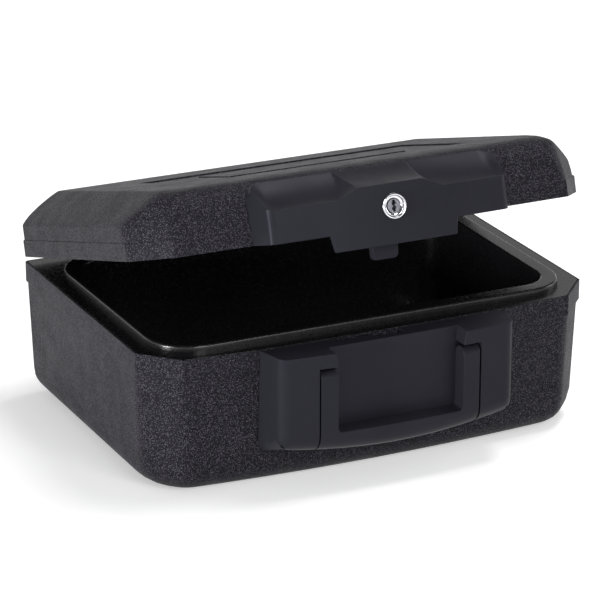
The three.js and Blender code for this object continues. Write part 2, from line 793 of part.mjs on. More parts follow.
function tubLiner() {
  const flange = cut(
    prismZ(outline(tubPlan, even(shellLip + seatGap)), rimHeight - linerWall, rimHeight),
    tubSeat(shellLip + seatGap),
  );
  const tongueRounding = arc([tongueEdge, 0], tongueEdge, 180, 90, 2).map(([u, v]) => [
    u - tongueWidth, tongueTop - tongueEdge + v,
  ]);
  const tongue = cavityStack([[-tongueWidth, rimHeight - linerWall], ...tongueRounding]);
  const hollowTop = tongueTop - linerWall;
  const below = rimHeight - linerWall - past;
  const hollow = cut(
    cavityStack([[linerWall - tongueWidth, below], [linerWall - tongueWidth, hollowTop]]),
    cavityStack([[-linerWall, below - past], [-linerWall, hollowTop + past]]),
  );
  const bowl = cut(join(flange, tongue, cavityForm(linerWall, rimHeight)), hollow);
  return cut(bowl, cavityForm(0, tongueTop, tongueEdge));
}

function tubInsulation() {
  const gap = shellWall + seatGap;
  const flangeUnder = rimHeight - linerWall - seatGap;
  const fill = cut(tubForm(gap, flangeUnder), tubSeat(gap));
  const edge = linerWall + seatGap;
  const rib = cavityStack([
    [edge - tongueWidth, flangeUnder - past],
    [edge - tongueWidth, tongueTop - edge],
  ]);
  const heads = housingScrews.map((at, k) => (
    headRoom(at, housingSeat - past, housingScrewSeats[k] + screwHeadHeight + seatGap)
  ));
  return cut(join(fill, rib), cavityForm(edge, tongueTop + past), ...heads);
}

// Lid
const lidTop = lidUnderside + lidHeight;
const bandTop = lidUnderside + lidBand;

// Inset of a slope at a share of its height: upright up to its shoulder, then falling in a
// superellipse.
function slope(width, shoulder, power, share) {
  const above = THREE.MathUtils.clamp((share - shoulder) / (1 - shoulder), 0, 1);
  return width * (1 - (1 - above ** power) ** (1 / power));
}

function lidInsets(share, offset) {
  return {
    side: offset + lidLip + slope(lidSideSlope, lidSideShoulder, 1.12, share),
    back: offset + lidLip + slope(lidBackSlope, lidBackShoulder, 1.2, share),
    front: offset + lidLip + slope(lidFrontSlope, 0, 2.8, share),
    facet: offset + lidLip + slope(lidFacetSlope, 0, 1.35, share),
    sideRun: THREE.MathUtils.lerp(wallRun, lidTopRun, share),
    frontRun: THREE.MathUtils.lerp(wallRun, lidTopRun, share),
  };
}

// The lid's outer form, moved inwards by an offset, from a bottom level.
function lidForm(offset, bottom) {
  const shares = [0, 0.17, 0.33, 0.41, 0.5, 0.6, 0.7, 0.8, 0.88, 0.94, 0.98, 1];
  const height = lidTop - offset - bandTop;
  const band = [bottom, bandTop - lidLip].map((z) => level(outline(lidPlan, even(offset), lidTopCorner), z));
  const rest = shares.map((share) => (
    level(outline(lidPlan, lidInsets(share, offset), lidTopCorner), bandTop + share * height)
  ));
  return loft([...band, ...rest]);
}

const lidEnvelope = cut(lidForm(-seatGap, lidUnderside - seatGap), lidSeatCut(-seatGap));
const coverScrewSeat = lidSeat + shellWall + seatGap;

function lidShell() {
  const fieldLevel = lidTop - fieldDepth;
  const field = cut(
    box(-fieldHalf, fieldHalf, fieldFront, fieldBack, fieldLevel, lidTop + past),
    box(-plateHalf, plateHalf, plateFront, plateBack, fieldLevel - past, fieldLevel + plateRise),
  );
  const below = lidUnderside - past;
  const underField = shellWall + fieldDepth;
  const inner = cut(lidForm(underField, below), lidSeatCut(underField));
  const wall = cut(lidForm(shellWall, below), lidSeatCut(shellWall));
  const walls = wall.intersect(box(
    -lidHalf, lidHalf, lidFront - farPast, lidBack + past, below - past, lidTop - underField,
  ));
  const rebate = cut(
    prismZ(outline(lidPlan, even(shellLip)), below, lidUnderside + linerWall),
    lidSeatCut(shellLip),
  );
  const hollow = join(inner, walls, rebate);
  const knuckles = lidKnuckles.map((body) => cut(body, hollow));
  const holes = coverScrews.map((at) => shellHole(at, lidSeat - past, lidSeat + past));
  return cut(join(cut(lidForm(0, lidUnderside), lidSeatCut(0), field, hollow), ...knuckles), ...holes);
}

const recessCeiling = lidUnderside + lidRecessDepth;

function lidLiner() {
  const flange = cut(
    prismZ(outline(lidPlan, even(shellLip + seatGap)), lidUnderside, lidUnderside + linerWall),
    lidSeatCut(shellLip + seatGap),
  );
  const outer = -tongueWidth - tongueClearance;
  const panOuter = outer - linerWall;
  const pan = cavityStack([[panOuter, lidUnderside], [panOuter, recessCeiling + linerWall]]);
  const groove = cut(
    cavityStack([[outer, lidUnderside - past], [outer, tongueTop + tongueClearance]]),
    cavityStack([[tongueClearance, lidUnderside - 2 * past], [tongueClearance, recessCeiling + past]]),
  );
  const inner = tongueClearance + lidRecessRib;
  const recess = cavityStack([[inner, lidUnderside - past], [inner, recessCeiling]]);
  return cut(join(flange, pan), groove, recess);
}

function lidInsulation() {
  const gap = shellWall + fieldDepth + seatGap;
  const bottom = lidUnderside + linerWall + seatGap;
  const outer = -tongueWidth - tongueClearance - linerWall - seatGap;
  const pan = cavityStack([[outer, bottom - past], [outer, recessCeiling + linerWall + seatGap]]);
  const heads = coverScrews.map((at) => (
    headRoom(at, lidSeat - past, coverScrewSeat + screwHeadHeight + seatGap)
  ));
  return cut(lidForm(gap, bottom), lidSeatCut(gap), pan, ...heads);
}

// Lock cover
const coverLine = (x) => coverFront + housingFrontBow * x ** 2;
const coveEnd = coverHalf - coveEndInset;
const wingColumns = [
  [0.6 * coverHalf, 0], [0.75 * coverHalf, 0], [coveEnd, 0],
  [coveEnd + 0.35 * coveEndWidth, 0.15], [coveEnd + 0.7 * coveEndWidth, 0.55], [coveEnd + coveEndWidth, 1],
];

// The cover's upper surface: a hollow cove on each wing that rises at its outer end to a straight
// rim, a plainer slope on the middle panel, and a ramp between that closes to a point at the rear.
function coverSkin(offset) {
  const rise = (low, hollow, t) => low + (coverTop - low) * ((1 - hollow) * t + hollow * t ** 2);
  const shares = [-0.3, 0, 0.1, 0.2, 0.3, 0.4, 0.5, 0.62, 0.74, 0.87, 1, 1.4];
  return loft(shares.map((share) => {
    const t = THREE.MathUtils.clamp(share, 0, 1);
    const panelHalf = THREE.MathUtils.lerp(coverPanelHalf, coverPanelRearHalf, t);
    const rampHalf = THREE.MathUtils.lerp(coverRampHalf, coverPanelRearHalf + rampPoint, t);
    const low = rise(coverWingTop, coveHollow, t) - offset;
    const rim = rise(coverWingTop, 0, t) - offset;
    const panel = rise(coverPanelTop, panelHollow, t) - offset;
    const right = [
      [panelHalf / 3, panel],
      [panelHalf, panel],
      [rampHalf, low],
      ...wingColumns.map(([x, lift]) => [x, THREE.MathUtils.lerp(low, rim, lift)]),
      [coverHalf + past, rim],
      [coverHalf + past, 0],
    ];
    const ring = mirrored(right);
    return ring.map(([x, z]) => {
      const front = coverLine(x);
      return new THREE.Vector3(x, front + share * (coverRear - front), z);
    });
  }));
}

function coverPlan(offset) {
  const columns = [0, 1, 2, 3, 4, 5, 6].map((k) => (k * coverCornerX) / 6);
  const straight = columns.map((x) => [x, coverLine(x) + offset]);
  const start = coverLine(coverCornerX);
  const sweep = THREE.MathUtils.degToRad(coverCornerSweep);
  const corner = arc([0, 0], 1, 90, 90 - coverCornerSweep, 4).slice(1).map(([u, v]) => [
    coverCornerX + ((coverSideX - coverCornerX) * u) / Math.sin(sweep) - offset * u,
    start + ((coverSideY - start) * (1 - v)) / (1 - Math.cos(sweep)) + offset * v,
  ]);
  const lean = (coverRootHalf - coverSideX) / (lidSeat - coverSideY);
  const rear = coverRear + farPast;
  const root = [coverRootHalf - offset + lean * (rear - lidSeat), rear];
  const right = [...straight, ...corner, root];
  return [...right, ...right.slice(1).map(([x, y]) => [-x, y]).reverse()];
}

function coverFace(offset) {
  const top = coverTop + coverCornerRise - offset;
  const half = coverHalf - offset;
  const right = [
    [tabLowHalf - offset, tabBottom + offset],
    [tabTopHalf - offset, lidUnderside + offset],
    [half, lidUnderside + offset],
    ...arc([half - coverTopCorner, top - coverTopCorner], coverTopCorner, 0, 90, 5),
  ];
  return mirrored(right);
}

function coverForm(offset) {
  const plan = prismZ(coverPlan(offset), tabBottom - past, coverTop + past);
  const face = prismY(coverFace(offset), coverFront - past, coverRear + farPast);
  return coverSkin(offset).intersect(plan).intersect(face);
}

const slideTop = lockHeight + camArm + camPinRadius + latchPlateTop;
const slideBottom = lidUnderside + coverWall + seatGap;
const plateBackY = shankFront + latchPlateInShank;
const plateFrontY = plateBackY - latchPlate;

// A round bar on the lock's axis.
const lockBar = (r, y0, y1, sides = lockSides) => bar('y', r, y0, y1, [0, lockHeight], sides);

function lockCover() {
  const behindTab = (margin) => box(
    -coverHalf, coverHalf, tabBack - margin, coverRear + farPast, 0, lidUnderside + margin,
  );
  const hollow = cut(coverForm(coverWall), behindTab(coverWall));
  const bosses = coverScrews.map(([x, z]) => (
    bar('y', screwRadius + pinFit + bossWall, coverLine(x) + coverWall / 2, coverRear, [x, z], pinSides)
  ));
  const rail = box(
    -latchPlateHalf - latchTravel, latchPlateHalf + railEnd,
    coverFront + coverWall / 2, plateBackY,
    slideTop + seatGap, slideTop + seatGap + railThickness,
  ).intersect(coverForm(coverWall / 2));
  const behindCover = box(
    -coverHalf - past, coverHalf + past, coverRear, coverRear + 2 * farPast, 0, coverTop + 2 * past,
  );
  const shell = cut(join(cut(coverForm(0), behindTab(0), hollow), ...bosses, rail), behindCover);
  const slot = box(
    -latchShankHalf - latchTravel - slideGap, latchShankHalf + slideGap,
    slotNarrowFront, coverRear, lidUnderside - past, lidUnderside + coverWall + past,
  );
  return cut(
    shell,
    lidEnvelope,
    slot,
    lockBar(lockBarrelRadius + pinFit, coverFront - past, coverFront + 2 * coverWall),
    ...coverScrews.map((at) => shellHole(at, lidSeat - screwReach - screwRoom, coverRear)),
  );
}

// Lock: the cylinder's ring lies on the cover's face and a nut holds it from behind.
const ringFront = coverFront - lockRingProud;
const barrelBack = plateFrontY - lockBarrelBehind;
const camFront = barrelBack + camGap;
const camBack = camFront + camThickness;
const camPinAngle = keyTurn / 2;

function lockCylinder() {
  const ring = lockBar(lockRingRadius, ringFront, coverFront - seatGap, ringSides);
  const barrel = lockBar(lockBarrelRadius, ringFront + leastRun, barrelBack);
  const bore = lockBar(lockBore, ringFront - past, barrelBack + past);
  const dish = lockBar(lockBore + lockDish, ringFront - past, ringFront + plugSink);
  return cut(join(ring, barrel), bore, dish);
}

function lockNut() {
  const front = coverFront + coverWall + seatGap;
  return cut(
    lockBar(nutRadius, front, front + nutLength, nutSides),
    lockBar(lockBarrelRadius + pinFit, front - past, front + nutLength + past),
  );
}

function lockPlug() {
  const front = ringFront + plugSink;
  const core = lockBar(lockBore - pinFit, front, barrelBack);
  const tail = lockBar(tailRadius, barrelBack - leastRun, camBack, pinSides);
  const keyway = box(
    -keywayWidth / 2, keywayWidth / 2, front - past, front + keywayDepth,
    lockHeight - keywayHeight / 2, lockHeight + keywayHeight / 2,
  );
  const bottom = camBack - camScrewDepth - screwRoom;
  const screwBore = lockBar(camScrewRadius + pinFit, bottom, camBack + past, screwSides);
  return cut(join(core, tail), keyway, screwBore);
}

// The cam's arm points to the right of upright, and the key turns it as far to the left.
const camPinX = camArm * Math.sin(camPinAngle);
const camPinZ = lockHeight + camArm * Math.cos(camPinAngle);

function lockCam() {
  const hub = lockBar(tailRadius + camHubWall, camFront, camBack, lockSides);
  const tip = bar('y', camPinRadius + camTipWall, camFront, camBack, [camPinX, camPinZ], pinSides);
  const side = new THREE.Vector2(Math.cos(camPinAngle), -Math.sin(camPinAngle));
  side.multiplyScalar(camPinRadius + camArmWall);
  const arm = prismY([
    [side.x, lockHeight + side.y],
    [camPinX + side.x, camPinZ + side.y],
    [camPinX - side.x, camPinZ - side.y],
    [-side.x, lockHeight - side.y],
  ], camFront, camBack);
  const pin = bar('y', camPinRadius, camBack - leastRun, plateBackY, [camPinX, camPinZ], pinSides);
  const bore = lockBar(tailRadius + pinFit, camFront - past, camBack + past, pinSides);
  return cut(join(hub, tip, arm, pin), bore);
}

function camScrew() {
  const seat = camBack + seatGap;
  return join(
    lockBar(camScrewHead, seat, seat + camScrewHeadHeight, pinSides),
    lockBar(camScrewRadius, camBack - camScrewDepth, seat + leastRun, screwSides),
  );
}

function latchSlide() {
  const half = camPinRadius + slideGap;
  const plateLeft = camPinX - latchPlateHalf - half;
  const plateRight = camPinX + half + latchPlateEnd;
  const plate = box(plateLeft, plateRight, plateFrontY, plateBackY, slideBottom, slideTop);
  const shankTop = lockHeight + latchShankTop;
  const shank = box(-latchShankHalf, latchShankHalf, shankFront, latchBack, footTop - leastRun, shankTop);
  const foot = prismX([
    [latchBack, latchFootBottom],
    [latchBack, footTop],
    [footFront, footTop],
    [footFront, latchFootBottom + latchFootNose],
    [footFront + latchFootTaper, latchFootBottom],
  ], -latchFootHalf, latchFootHalf);
  const [cornerX, cornerZ] = [latchFootHalf - latchFootCorner, latchFootBottom + latchFootCorner];
  const sides = prismY([
    ...arc([cornerX, cornerZ], latchFootCorner, 0, -90, 3),
    ...arc([-cornerX, cornerZ], latchFootCorner, 270, 180, 3),
    [-latchFootHalf, slideTop],
    [latchFootHalf, slideTop],
  ], coverFront, coverRear);
  const pinSlot = box(
    camPinX - half, camPinX + half, plateFrontY - past, plateBackY + past,
    camPinZ - half, lockHeight + camArm + half,
  );
  return cut(join(plate, shank, foot.intersect(sides)), pinSlot);
}

function strikePlate() {
  const left = slotLeft - strikeMargin;
  const right = slotRight + strikeMargin;
  const front = recessBack + housingWall + seatGap;
  return cut(
    box(left, right, front, housingSeat - seatGap, strikeTop - strikeThickness, strikeTop),
    keyhole(strikeTop - past, strikeTop + past),
    ...strikeScrews.map((at) => strikeHole(at, strikeTop + past)),
  );
}

// The pieces, grouped by what they move with
const tub = new THREE.Group();
tub.add(
  mesh('base_outer_shell', tubShell(), grain),
  mesh('base_insulation', tubInsulation(), mineral),
  mesh('base_liner', tubLiner(), smooth),
  mesh('handle_housing', housing(), satin),
  mesh('strike_plate', strikePlate(), steel),
  mesh('handle_pin_left', handlePin(-1), steel),
  mesh('handle_pin_right', handlePin(1), steel),
);
strikeScrews.forEach((at, k) => {
  const body = screw('z', strikeTop - strikeThickness, 1, strikeThickness + strikeScrewDepth, at);
  tub.add(mesh(`strike_screw_${k + 1}`, body, steel));
});
housingScrews.forEach((at, k) => {
  const seat = housingScrewSeats[k];
  tub.add(mesh(`housing_screw_${k + 1}`, screw('y', seat, -1, seat - housingSeat + screwReach, at), steel));
});
['left', 'right'].forEach((side, k) => {
  const half = lidKnuckle / 2 + knuckleGap + tubKnuckle;
  const pin = bar('x', hingePinRadius, hinges[k] - half, hinges[k] + half, [hingeY, hingeZ], pinSides);
  tub.add(mesh(`hinge_pin_${side}`, pin, steel));
});

const handle = new THREE.Group();
handle.add(mesh('carry_handle', carryHandle(), satin));

const lidPieces = new THREE.Group();
lidPieces.position.set(0, -hingeY, -hingeZ);
lidPieces.add(
  mesh('lid_outer_shell', lidShell(), grain),
  mesh('lid_insulation', lidInsulation(), mineral),
  mesh('lid_liner', lidLiner(), smooth),
  mesh('lock_cover', lockCover(), satin),
  mesh('lock_cylinder', lockCylinder(), chrome),
  mesh('lock_nut', lockNut(), steel),
  mesh('lock_plug', lockPlug(), brass),
  mesh('lock_cam', lockCam(), steel),
  mesh('cam_screw', camScrew(), steel),
  mesh('latch_slide', latchSlide(), satin),
);
coverScrews.forEach((at, k) => {
  const body = screw('y', coverScrewSeat, -1, coverScrewSeat - lidSeat + screwReach, at);
  lidPieces.add(mesh(`cover_screw_${k + 1}`, body, steel));
});

const lid = new THREE.Group();
lid.position.set(0, hingeY, hingeZ);
lid.rotation.x = -lidAjar;
lid.add(lidPieces);

const lockBox = new THREE.Group();
lockBox.add(tub, handle, lid);

export default lockBox;
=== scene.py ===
"""Looks of the fireproof lock box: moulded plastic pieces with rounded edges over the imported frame."""
import json
import math

import bmesh
import bpy
from mathutils import Matrix, Vector
from mathutils.bvhtree import BVHTree


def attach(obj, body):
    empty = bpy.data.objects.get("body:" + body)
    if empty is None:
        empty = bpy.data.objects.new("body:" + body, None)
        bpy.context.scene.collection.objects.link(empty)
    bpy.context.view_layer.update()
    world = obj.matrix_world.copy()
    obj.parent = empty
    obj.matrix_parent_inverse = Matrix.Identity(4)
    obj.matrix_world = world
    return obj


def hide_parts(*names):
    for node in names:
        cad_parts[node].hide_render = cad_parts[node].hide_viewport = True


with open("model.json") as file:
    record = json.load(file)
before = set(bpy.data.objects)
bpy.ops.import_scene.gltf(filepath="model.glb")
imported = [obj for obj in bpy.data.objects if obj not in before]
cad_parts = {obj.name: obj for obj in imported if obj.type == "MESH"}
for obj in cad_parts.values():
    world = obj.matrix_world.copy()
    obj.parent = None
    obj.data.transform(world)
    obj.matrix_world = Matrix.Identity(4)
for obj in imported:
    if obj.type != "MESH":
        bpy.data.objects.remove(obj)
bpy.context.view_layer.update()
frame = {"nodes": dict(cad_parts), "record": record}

MM = 0.001

# Camera, fitted to the photograph. Distances are in metres.
VIEW_AZIMUTH = math.radians(-25.53)
VIEW_ELEVATION = math.radians(20.30)
VIEW_ROLL = math.radians(0.05)
VIEW_DISTANCE = 2.5564
VIEW_TARGET = Vector((-0.0009, 0.0153, 0.0839))
VIEW_REACH = 50.0
PICTURE_SIDE = 600
FOCAL_PIXELS = 3361.1
SENSOR = 36.0

# The lid's hinge line, and how far the lid stands open at rest
HINGE_LINE = Vector((0.0, 132.9 * MM, 107.3 * MM))
LID_AJAR = math.radians(16.83)
AJAR = (
    Matrix.Translation(HINGE_LINE)
    @ Matrix.Rotation(-LID_AJAR, 4, "X")
    @ Matrix.Translation(-HINGE_LINE)
)

# The lock's height and the front of its cover, both with the lid shut
LOCK_HEIGHT = 123.6 * MM
COVER_FRONT = -154.0 * MM

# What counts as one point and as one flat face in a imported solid
MERGE_DISTANCE = 2e-6
FLAT_ANGLE = math.radians(0.6)

# Rounding of the moulded edges, the least angle of an edge that is rounded, and the greatest angle
# between faces that share their shading, as its cosine
SHELL_ROUNDING = 0.9 * MM
TRIM_ROUNDING = 0.6 * MM
LINER_ROUNDING = 0.6 * MM
ROUNDING_STEPS = 3
EDGE_ANGLE = math.radians(30)
BLEND_COSINE = math.cos(math.radians(42))

# A seam is where another piece stands within reach before a face. The rounding there is a share of
# the full one, and a full one needs faces that are ROOM_SHARE times as wide as it.
SEAM_START = 0.02 * MM
SEAM_REACH = 1.5 * MM
SEAM_SHARE = 0.35
ROOM_SHARE = 2.5

# Lines of sight start this far before an edge, and lean across it and along it
SIGHT_START = 0.3 * MM
SIGHT_LENGTH = 60 * MM
SIGHT_LEANS = ((0, 0), (0.8, 0), (-0.8, 0), (0, 0.8), (0, -0.8))

# Levels and tint of the plain reflection of black plastic
PLASTIC_IOR = 1.5
GRAIN_SHEEN = 0.065
TRIM_SHEEN = 0.08
LINER_SHEEN = 0.5
PLASTIC_TINT = (0.84, 0.83, 1.0, 1.0)

# The patterns stand askew, so that no flat face lies along their cells
PATTERN_TURN = (0.61, 0.47, 0.33)

# Pebbled grain: its colours, the dark one painted shade in the hollows between the pebbles and the
# light one painted light on their crowns, with lumps adding random tone; its lumps and fine marks for
# each pebble, and their shares in the relief and in the tone
GRAIN_DARK = (0.0085, 0.008, 0.0102)
GRAIN_LIGHT = (0.043, 0.0405, 0.051)
# The colour of the painted glint on the crowns of some pebbles
GRAIN_PAINTED_GLINT = (0.12, 0.114, 0.134)
LUMPS_PER_PEBBLE = 0.45
MARKS_PER_PEBBLE = 3.0
RELIEF_SHARE = -0.3
LUMP_TONE = 0.2

# Repeats of the other patterns in a metre
GRAIN_WEAR = 60.0
TRIM_CLOUD = 26.0
TRIM_WEAR = 90.0
TRIM_SPARK = 2600.0
LINER_FLOW = 14.0
LINER_RUB = 320.0
METAL_CLOUD = 160.0
POLISH_MARKS = 900.0
ZINC_MARKS = 1500.0
# Marks of the strike plate's near-black steel, whose darkness is painted shade
SLOT_SHADE_STEEL_MARKS = 400.0
SAND_SPECKS = 700.0
PORES = 260.0

# Depths of the finest relief, and the pores' share in the cast fill's
TRIM_RELIEF = 0.04 * MM
LINER_RELIEF = 0.02 * MM
METAL_RELIEF = 0.01 * MM
FILL_RELIEF = 0.4 * MM
PORE_SHARE = 0.8

# The lock's ring and plug. A section runs round as distances from the lock's axis and forwards
# from the cover's face, in millimetres. The keyway is across and up from the axis.
RING_SECTION = (
    (5.6, -15.0), (5.6, 0.1), (5.8, 0.4), (6.9, 1.0), (7.0, 0.2), (7.35, 0.2), (7.5, 1.5),
    (7.9, 2.05), (8.4, 2.2), (9.0, 2.0), (9.4, 1.5), (9.5, 0.9), (9.5, 0.3), (8.0, 0.3), (8.0, -15.0),
)
PLUG_SECTION = ((0.0, -7.6), (5.0, -7.6), (5.0, -15.0), (3.0, -15.0), (3.0, -18.3), (0.0, -18.3))
PLUG_RADIUS = 5.0
PLUG_FRONT = 0.3
KEYWAY_FLOOR = -7.7
KEYWAY = (
    (-1.1, 4.3), (1.1, 4.3), (1.1, 3.1), (1.8, 2.6), (1.8, 1.5), (0.7, 1.0), (0.7, 0.0), (1.7, -0.6),
    (1.7, -1.9), (1.0, -2.4), (1.0, -4.2), (-1.0, -4.2), (-1.0, -3.0), (-1.8, -2.4), (-1.8, -1.2),
    (-0.7, -0.6), (-0.7, 0.5), (-1.6, 1.1), (-1.6, 2.4), (-1.1, 2.9),
)
TURN_STEPS = 64

# From the lock's own axes, with its face forwards as z, to its place in the lid at rest
LOCK_PLACE = (
    AJAR @ Matrix.Translation((0.0, COVER_FRONT, LOCK_HEIGHT)) @ Matrix.Rotation(math.radians(90), 4, "X")
)

# Sizes of the pan-headed screws, the steps round them, the seed of their turns, and how far out from
# the axis, as a share of its radius, the edge of a packed screw's head begins
SCREW_SIZES = {
    "Head radius": 3.5 * MM, "Crown radius": 2.5 * MM, "Head height": 1.95 * MM,
    "Shank radius": 1.7 * MM, "Recess width": 0.9 * MM, "Recess length": 3.6 * MM,
    "Recess depth": 2.2 * MM,
}
HEAD_STEPS = 32
SHANK_STEPS = 16
SCREW_SEED = 7
HEAD_EDGE = 0.8

# The floor's radius in metres, its grey, and its glow where the camera or a reflection looks at it
FLOOR_RADIUS = 9.0
FLOOR_STEPS = 96
FLOOR_GREY = (0.8, 0.8, 0.8, 1)
FLOOR_GLOW = 0.38

# The world's white round the box, its plain light on the box, and the dimmer ceiling overhead. The
# white fades to the ceiling's level between two heights, each the sine of an angle upwards.
WHITE = (1, 1, 1, 1)
PLAIN_LIGHT = 0.34
CEILING = 0.1
CEILING_RISE = (0.15, 0.5)

# Soft lamps: name, place, point aimed at, width and height in metres, and watts
SOFT_LAMPS = (
    ("soft_left", (-2.5, -0.65, 0.25), (0, 0, 0.15), (0.5, 0.5), 60),
    ("soft_above", (0.65, 0.1, 2.3), (0, 0, 0.15), (0.9, 0.9), 30),
    ("soft_front", (0.2, -2.3, 1.3), (0, 0, 0.15), (1.2, 0.8), 26),
    ("soft_right", (2.3, -0.2, 1.0), (0, 0, 0.1), (0.8, 1.4), 8),
)


class Nodes:
    """Short calls for making and joining the nodes of one tree."""

    def __init__(self, tree):
        self.tree = tree

    def add(self, kind, inputs=None, **properties):
        """A new node, each given input joined to a socket or set to a plain value."""
        node = self.tree.nodes.new(kind)
        for key, value in properties.items():
            setattr(node, key, value)
        for key, value in (inputs or {}).items():
            if isinstance(value, bpy.types.NodeSocket):
                self.tree.links.new(value, node.inputs[key])
            else:
                node.inputs[key].default_value = value
        return node

    def spread(self, value, over, to=(0.0, 1.0), **properties):
        """A value that runs over one range, carried to another."""
        ends = dict(zip(("From Min", "From Max", "To Min", "To Max"), (*over, *to)))
        return self.add("ShaderNodeMapRange", {"Value": value, **ends}, **properties).outputs["Result"]

    def looked_at(self):
        """1 where the camera, a reflection or a clear piece looks, and 0 for all other light."""
        path = self.add("ShaderNodeLightPath").outputs
        seen = path["Is Camera Ray"]
        for ray in ("Is Glossy Ray", "Is Transmission Ray"):
            seen = self.add("ShaderNodeMath", {0: seen, 1: path[ray]}, operation="MAXIMUM").outputs["Value"]
        return seen


class FinishNodes(Nodes):
    """Patterns at the object's own places, and what they do to one material's shader."""

    def __init__(self, material):
        super().__init__(material.node_tree)
        self.shader = self.tree.nodes["Principled BSDF"]
        own_place = self.add("ShaderNodeTexCoord").outputs["Object"]
        turned_place = self.add("ShaderNodeMapping", {"Vector": own_place, "Rotation": PATTERN_TURN})
        self.place = turned_place.outputs["Vector"]

    def noise(self, scale, detail=2.0, roughness=0.5, distortion=0.0):
        return self.add("ShaderNodeTexNoise", {
            "Vector": self.place, "Scale": scale, "Detail": detail, "Roughness": roughness,
            "Distortion": distortion,
        }).outputs["Fac"]

    def cells(self, scale):
        """Distance to a cell's middle, and a chance value that is the same all over a cell."""
        cell = self.add("ShaderNodeTexVoronoi", {"Vector": self.place, "Scale": scale}, feature="F1")
        parts = self.add("ShaderNodeSeparateColor", {"Color": cell.outputs["Color"]})
        return cell.outputs["Distance"], parts.outputs["Red"]

    def times(self, first, second):
        return self.add("ShaderNodeMath", {0: first, 1: second}, operation="MULTIPLY").outputs["Value"]

    def plus(self, first, second, share):
        """The first value and a share of the second."""
        inputs = {0: second, 1: share, 2: first}
        return self.add("ShaderNodeMath", inputs, operation="MULTIPLY_ADD").outputs["Value"]

    def mixed(self, factor, first, second):
        """A first colour, plain or from a socket, mixed with a plain one."""
        start = first if isinstance(first, bpy.types.NodeSocket) else (*first, 1)
        inputs = {"Factor": factor, "A": start, "B": (*second, 1)}
        return self.add("ShaderNodeMix", inputs, data_type="RGBA").outputs["Result"]

    def bump(self, height, depth, strength=1.0):
        inputs = {"Height": height, "Distance": depth, "Strength": strength}
        return self.add("ShaderNodeBump", inputs).outputs["Normal"]

    def dress(self, **looks):
        """Joins what the patterns give to the shader's own sockets."""
        for key, source in looks.items():
            self.tree.links.new(source, self.shader.inputs[key.replace("_", " ")])


def shader_material(name, **sockets):
    """A material with one Principled shader, its uniform values set on its own sockets."""
    material = bpy.data.materials.new(name)
    material.use_nodes = True
    shader = material.node_tree.nodes["Principled BSDF"]
    for key, value in sockets.items():
        shader.inputs[key.replace("_", " ")].default_value = value
    return material


def pebbled_plastic(name, pebble, depth):
    """Moulded plastic with a pebbled grain: round bumps of about one size, their crowns painted lighter as
    painted light, some with a painted glint on top.
    """
    material = shader_material(
        name, IOR=PLASTIC_IOR, Specular_IOR_Level=GRAIN_SHEEN, Specular_Tint=PLASTIC_TINT,
    )
    n = FinishNodes(material)
    pebbles, chance = n.cells(1 / pebble)
    lumps = n.noise(LUMPS_PER_PEBBLE / pebble, detail=3.0, roughness=0.6)
    marks = n.noise(MARKS_PER_PEBBLE / pebble)
    wear = n.noise(GRAIN_WEAR, detail=3.0)
    relief = n.plus(n.plus(pebbles, lumps, RELIEF_SHARE), marks, RELIEF_SHARE)
    # Painted light and shade: each pebble is painted lighter at its crown and darker towards its rim, the
    # more so on pebbles picked by chance, and the lumps add random tone
    top = n.spread(pebbles, over=(0.1, 0.55), to=(1.0, 0.0))
    tone = n.plus(n.times(top, n.spread(chance, over=(0.15, 0.85), to=(0.2, 1.0))), lumps, LUMP_TONE)
    body = n.mixed(n.spread(tone, over=(0.1, 0.8)), GRAIN_DARK, GRAIN_LIGHT)
    # A painted glint: a pale spot on the crowns of pebbles picked by chance, where light would catch them
    pale = n.times(n.spread(chance, over=(0.45, 0.95)), n.spread(pebbles, over=(0.2, 0.6), to=(1.0, 0.0)))
    n.dress(
        Base_Color=n.mixed(pale, body, GRAIN_PAINTED_GLINT),
        Roughness=n.spread(wear, over=(0.35, 0.65), to=(0.4, 0.48)),
        Normal=n.bump(relief, -depth),
    )
    return material


def satin_plastic(name, base, paler, rough):
    """Plain moulded trim with a fine satin surface and slight clouding."""
    material = shader_material(
        name, IOR=PLASTIC_IOR, Specular_IOR_Level=TRIM_SHEEN, Specular_Tint=PLASTIC_TINT,
    )
    n = FinishNodes(material)
    cloud = n.noise(TRIM_CLOUD, detail=4.0, roughness=0.6)
    wear = n.noise(TRIM_WEAR, detail=3.0)
    spark = n.noise(TRIM_SPARK)
    n.dress(
        Base_Color=n.mixed(n.spread(cloud, over=(0.3, 0.7)), base, paler),
        Roughness=n.spread(wear, over=(0.3, 0.7), to=(rough - 0.03, rough + 0.04)),
        Normal=n.bump(spark, TRIM_RELIEF, strength=0.5),
    )
    return material


def smooth_plastic(name, base, paler, rough):
    """Smooth moulded liner with a soft gloss, faint flow marks and rubbing."""
    material = shader_material(name, IOR=PLASTIC_IOR, Specular_IOR_Level=LINER_SHEEN)
    n = FinishNodes(material)
    flow = n.noise(LINER_FLOW, detail=3.0, distortion=0.6)
    rub = n.noise(LINER_RUB, detail=4.0, roughness=0.7)
    n.dress(
        Base_Color=n.mixed(n.spread(flow, over=(0.35, 0.65)), base, paler),
        Roughness=n.spread(rub, over=(0.35, 0.7), to=(rough - 0.05, rough + 0.08)),
        Normal=n.bump(rub, LINER_RELIEF, strength=0.4),
    )
    return material


def plated_metal(name, base, paler, rough, marks=POLISH_MARKS):
    """Plated or polished metal with fine polishing marks."""
    material = shader_material(name, Metallic=1.0)
    n = FinishNodes(material)
    streak = n.noise(marks, detail=4.0, roughness=0.7, distortion=0.3)
    cloud = n.noise(METAL_CLOUD, detail=3.0)
    n.dress(
        Base_Color=n.mixed(n.spread(cloud, over=(0.3, 0.7)), base, paler),
        Roughness=n.spread(streak, over=(0.3, 0.75), to=(rough - 0.04, rough + 0.1)),
        Normal=n.bump(streak, METAL_RELIEF, strength=0.3),
    )
    return material


